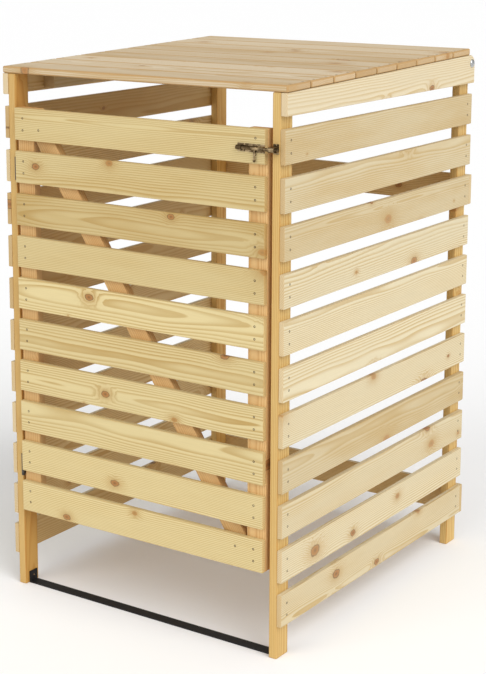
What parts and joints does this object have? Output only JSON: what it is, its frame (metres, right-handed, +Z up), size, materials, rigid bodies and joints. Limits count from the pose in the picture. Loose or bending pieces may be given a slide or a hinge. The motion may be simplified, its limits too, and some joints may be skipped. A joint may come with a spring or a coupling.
{
  "type": "slatted timber store for a wheeled bin",
  "caption": "Free-standing pine store for one wheeled bin: slatted sides, hinged slatted door with barrel bolt, and a lifting boarded lid.",
  "frame": {"origin": "on the ground under the centre of the whole store", "axes": "+X to the right of someone facing the door, +Y to the rear, +Z up"},
  "size_m": [0.742, 0.849, 1.209],
  "materials": {
    "side_pine": "sawn, untreated",
    "post_pine": "planed, untreated",
    "door_pine": "sawn, untreated",
    "door_frame_pine": "sawn, untreated",
    "lid_pine": "sawn, untreated",
    "lid_frame_pine": "sawn, untreated",
    "black_steel": "satin black paint",
    "hinge_steel": "dark lacquer",
    "latch_brass": "antiqued, satin",
    "zinc_steel": "zinc plated",
    "nail_steel": "dull",
    "screw_steel": "dull"
  },
  "bodies": {
    "frame": {"post_front_left": "post_pine", "post_front_right": "post_pine", "post_rear_left": "post_pine", "post_rear_right": "post_pine", "side_slat_left_01": "side_pine", "side_slat_left_02": "side_pine", "side_slat_left_03": "side_pine", "side_slat_left_04": "side_pine", "side_slat_left_05": "side_pine", "side_slat_left_06": "side_pine", "side_slat_left_07": "side_pine", "side_slat_left_08": "side_pine", "side_slat_left_09": "side_pine", "side_slat_left_10": "side_pine", "side_slat_left_11": "side_pine", "side_slat_right_01": "side_pine", "side_slat_right_02": "side_pine", "side_slat_right_03": "side_pine", "side_slat_right_04": "side_pine", "side_slat_right_05": "side_pine", "side_slat_right_06": "side_pine", "side_slat_right_07": "side_pine", "side_slat_right_08": "side_pine", "side_slat_right_09": "side_pine", "side_slat_right_10": "side_pine", "side_slat_right_11": "side_pine", "rear_board_upper": "side_pine", "rear_board_lower": "side_pine", "tie_bar": "black_steel", "frame_nails": "nail_steel", "frame_screws": "screw_steel", "hinge_post_leaves": "hinge_steel", "hinge_pins": "hinge_steel", "latch_keep": "latch_brass", "lid_pivot_bolts": "zinc_steel", "lid_pivot_nuts": "zinc_steel"},
    "door": {"door_slat_01": "door_pine", "door_slat_02": "door_pine", "door_slat_03": "door_pine", "door_slat_04": "door_pine", "door_slat_05": "door_pine", "door_slat_06": "door_pine", "door_slat_07": "door_pine", "door_slat_08": "door_pine", "door_slat_09": "door_pine", "door_slat_10": "door_pine", "door_ledge_hinge_side": "door_frame_pine", "door_ledge_latch_side": "door_frame_pine", "door_brace": "door_frame_pine", "door_nails": "nail_steel", "door_screws": "screw_steel", "hinge_door_leaves": "hinge_steel", "latch_plate": "latch_brass"},
    "latch": {"latch_bolt": "latch_brass"},
    "lid": {"lid_boards": "lid_pine", "lid_apron_left": "lid_frame_pine", "lid_apron_right": "lid_frame_pine", "lid_batten_left": "lid_frame_pine", "lid_batten_right": "lid_frame_pine", "lid_nails": "nail_steel"}
  },
  "joints": [
    {"name": "lid_hinge", "type": "hinge", "parent": "frame", "child": "lid", "pos_m": [0, 0.39815, 1.174], "axis": [-1, 0, 0], "range_deg": [0, 105]},
    {"name": "door_hinge", "type": "hinge", "parent": "frame", "child": "door", "pos_m": [-0.32825, -0.40685, 0.63], "axis": [0, 0, -1], "range_deg": [0, 120]},
    {"name": "latch_slide", "type": "slide", "parent": "door", "child": "latch", "axis": [1, 0, 0], "range_m": [-0.012, 0.007]}
  ]
}
